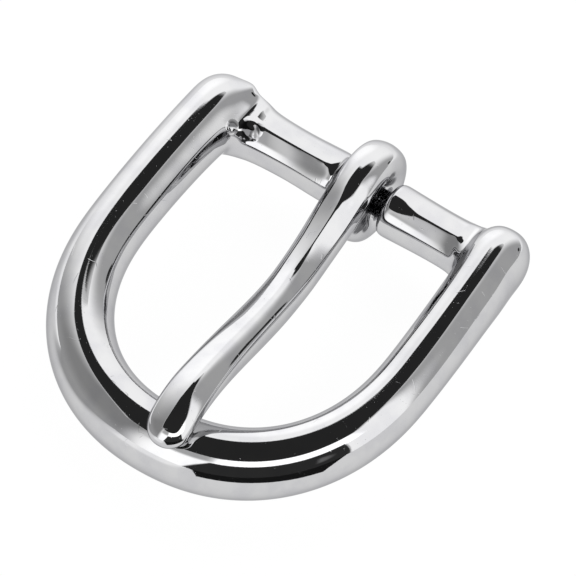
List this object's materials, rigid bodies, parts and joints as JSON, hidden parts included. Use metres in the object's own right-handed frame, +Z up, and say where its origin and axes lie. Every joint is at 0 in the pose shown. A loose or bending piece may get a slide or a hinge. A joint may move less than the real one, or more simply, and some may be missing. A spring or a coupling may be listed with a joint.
{
  "type": "heel bar buckle",
  "caption": "Polished cast horseshoe buckle with a heel bar across its open end and a loose curved tongue that rests on the rounded front rail.",
  "frame": {"origin": "middle of the whole part in X and Y, on the surface that it rests on", "axes": "+X to the right along the heel bar, +Y from the rounded front rail towards the heel bar, +Z up"},
  "size_m": [0.0386, 0.0433, 0.0114],
  "materials": {
    "frame_metal": "mirror polished nickel plate",
    "tongue_metal": "mirror polished nickel plate"
  },
  "bodies": {
    "frame": {"frame": "frame_metal"},
    "tongue": {"tongue": "tongue_metal"}
  },
  "joints": [
    {"name": "tongue_hinge", "type": "hinge", "parent": "frame", "child": "tongue", "pos_m": [0.0006, 0.01633, 0.00488], "axis": [-1, 0, 0], "range_deg": [0, 170]}
  ]
}
